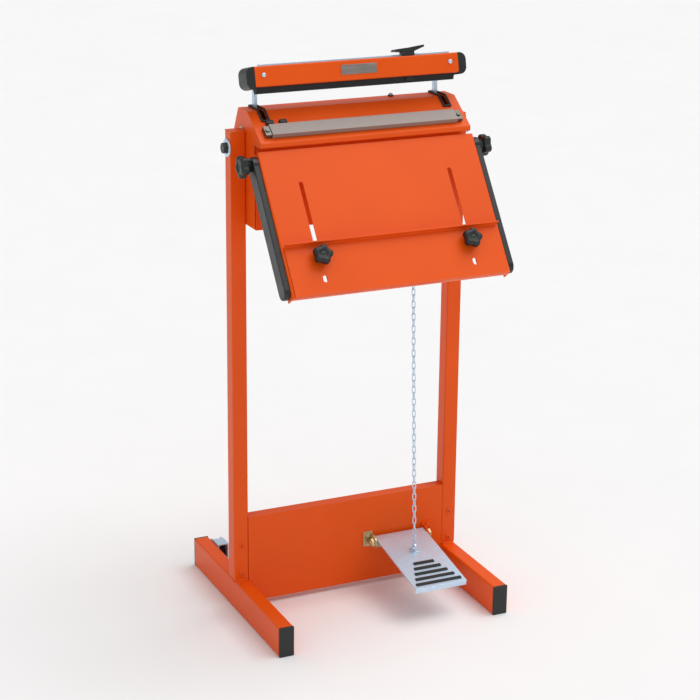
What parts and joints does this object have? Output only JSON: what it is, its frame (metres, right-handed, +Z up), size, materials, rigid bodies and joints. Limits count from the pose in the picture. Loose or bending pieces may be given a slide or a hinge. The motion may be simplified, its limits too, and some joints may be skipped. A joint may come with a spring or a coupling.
{
  "type": "foot-operated impulse bag sealer",
  "caption": "Floor-standing bag sealer: a foot pedal and chain close a sealing jaw with a sliding cutter onto a taped bar, above a tilting bag table with an adjustable shelf.",
  "frame": {"origin": "on the floor, under the middle of the bounding box at rest", "axes": "+Z up, -Y to the operator, +X to the operator's right along the sealing bar"},
  "size_m": [0.4226, 0.3912, 0.912],
  "materials": {
    "orange_paint": "semi-gloss orange powder coat",
    "black_plastic": "fine-grained black moulded plastic",
    "black_rubber": "matt black rubber",
    "black_steel": "satin black paint",
    "zinc_steel": "bright zinc plate",
    "yellow_zinc": "yellow passivated zinc",
    "bar_alloy": "satin extruded aluminium",
    "tape": "woven glass and fluoropolymer cover strip",
    "band_metal": "bare resistance band",
    "clamp_metal": "dark phosphated steel",
    "bronze": "sintered bronze",
    "iron_core": "varnished laminations with a taped winding",
    "circuit_board": "green circuit board",
    "lamp_lens": "clear grey lens",
    "plate_metal": "plain brushed plate",
    "silicone": "black silicone strip in its holder"
  },
  "bodies": {
    "stand_and_head": {"foot_left": "orange_paint", "foot_right": "orange_paint", "foot_end_caps": "black_plastic", "upright_left": "orange_paint", "upright_right": "orange_paint", "upright_plugs": "orange_paint", "upright_screws": "orange_paint", "cross_panel": "orange_paint", "wheel_brackets": "zinc_steel", "wheel_axles": "zinc_steel", "pedal_bracket_left": "yellow_zinc", "pedal_bracket_right": "orange_paint", "pedal_pin": "yellow_zinc", "side_plate_left": "orange_paint", "side_plate_right": "orange_paint", "head_shell": "orange_paint", "base_cover": "orange_paint", "rear_cover": "orange_paint", "cover_screws": "zinc_steel", "head_bolts": "zinc_steel", "pilot_lamp": "lamp_lens", "sealing_bar": "bar_alloy", "heating_band": "band_metal", "bar_tape": "tape", "element_clamps": "clamp_metal", "element_terminals": "black_plastic", "arm_grommets": "black_plastic", "shaft_bushes": "bronze", "transformer": "iron_core", "timer_board": "circuit_board", "micro_switch": "black_plastic", "power_switch": "black_plastic", "cable_gland": "black_plastic", "return_spring": "zinc_steel"},
    "rear_wheel_left": {"rear_wheel_left": "black_rubber"},
    "rear_wheel_right": {"rear_wheel_right": "black_rubber"},
    "pedal": {"pedal": "zinc_steel", "pedal_strips": "black_rubber", "pedal_eye": "zinc_steel"},
    "chain": {"chain": "zinc_steel"},
    "jaw": {"cross_shaft": "zinc_steel", "arm_left": "zinc_steel", "arm_right": "zinc_steel", "crank": "zinc_steel", "jaw_bar": "orange_paint", "jaw_end_caps": "black_plastic", "jaw_strip": "silicone", "jaw_screws": "zinc_steel", "jaw_plate": "plate_metal", "cutter_rail": "bar_alloy"},
    "cutter": {"cutter": "black_plastic"},
    "table": {"table_panel": "orange_paint", "table_rail_left": "black_steel", "table_rail_right": "black_steel"},
    "table_knob_left": {"table_knob_left": "black_plastic"},
    "table_knob_right": {"table_knob_right": "black_plastic"},
    "shelf": {"shelf": "orange_paint"},
    "shelf_knob_left": {"shelf_knob_left": "black_plastic"},
    "shelf_knob_right": {"shelf_knob_right": "black_plastic"},
    "timer_knob": {"timer_knob": "black_plastic"}
  },
  "joints": [
    {"name": "pedal_hinge", "type": "hinge", "parent": "stand_and_head", "child": "pedal", "pos_m": [0.092, -0.01044, 0.082], "axis": [1, 0, 0], "range_deg": [0, 20], "stiffness_Nm_per_rad": 6, "springref_deg": -28.65},
    {"name": "jaw_swing", "type": "hinge", "parent": "stand_and_head", "child": "jaw", "pos_m": [0, 0.02356, 0.79], "axis": [1, 0, 0], "range_deg": [0, 48]},
    {"name": "chain_swing", "type": "hinge", "parent": "pedal", "child": "chain", "pos_m": [0.092, -0.06313, 0.08656], "axis": [1, 0, 0], "range_deg": [-20, 0]},
    {"name": "cutter_slide", "type": "slide", "parent": "jaw", "child": "cutter", "axis": [1, 0, 0], "range_m": [-0.215, 0.038]},
    {"name": "table_tilt", "type": "hinge", "parent": "stand_and_head", "child": "table", "pos_m": [0, -0.05284, 0.754], "axis": [-1, 0, 0], "range_deg": [-36, 54]},
    {"name": "table_knob_left_turn", "type": "hinge", "parent": "table", "child": "table_knob_left", "pos_m": [-0.192, -0.05284, 0.754], "axis": [-1, 0, 0], "continuous": true},
    {"name": "table_knob_right_turn", "type": "hinge", "parent": "table", "child": "table_knob_right", "pos_m": [0.192, -0.05284, 0.754], "axis": [1, 0, 0], "continuous": true},
    {"name": "shelf_slide", "type": "slide", "parent": "table", "child": "shelf", "axis": [0, 0.5878, 0.809], "range_m": [0, 0.12]},
    {"name": "shelf_knob_left_turn", "type": "hinge", "parent": "shelf", "child": "shelf_knob_left", "pos_m": [-0.125, -0.16201, 0.63369], "axis": [0, -0.809, 0.5878], "continuous": true},
    {"name": "shelf_knob_right_turn", "type": "hinge", "parent": "shelf", "child": "shelf_knob_right", "pos_m": [0.125, -0.16201, 0.63369], "axis": [0, -0.809, 0.5878], "continuous": true},
    {"name": "timer_knob_turn", "type": "hinge", "parent": "stand_and_head", "child": "timer_knob", "pos_m": [0.06, 0.06556, 0.715], "axis": [0, 1, 0], "range_deg": [0, 270]},
    {"name": "rear_wheel_left_spin", "type": "hinge", "parent": "stand_and_head", "child": "rear_wheel_left", "pos_m": [-0.168, 0.17156, 0.025], "axis": [1, 0, 0], "continuous": true},
    {"name": "rear_wheel_right_spin", "type": "hinge", "parent": "stand_and_head", "child": "rear_wheel_right", "pos_m": [0.168, 0.17156, 0.025], "axis": [1, 0, 0], "continuous": true}
  ],
  "couplings": [
    {"joint": "jaw_swing", "follows": "pedal_hinge", "ratio": 2.4},
    {"joint": "chain_swing", "follows": "pedal_hinge", "ratio": -0.994}
  ]
}
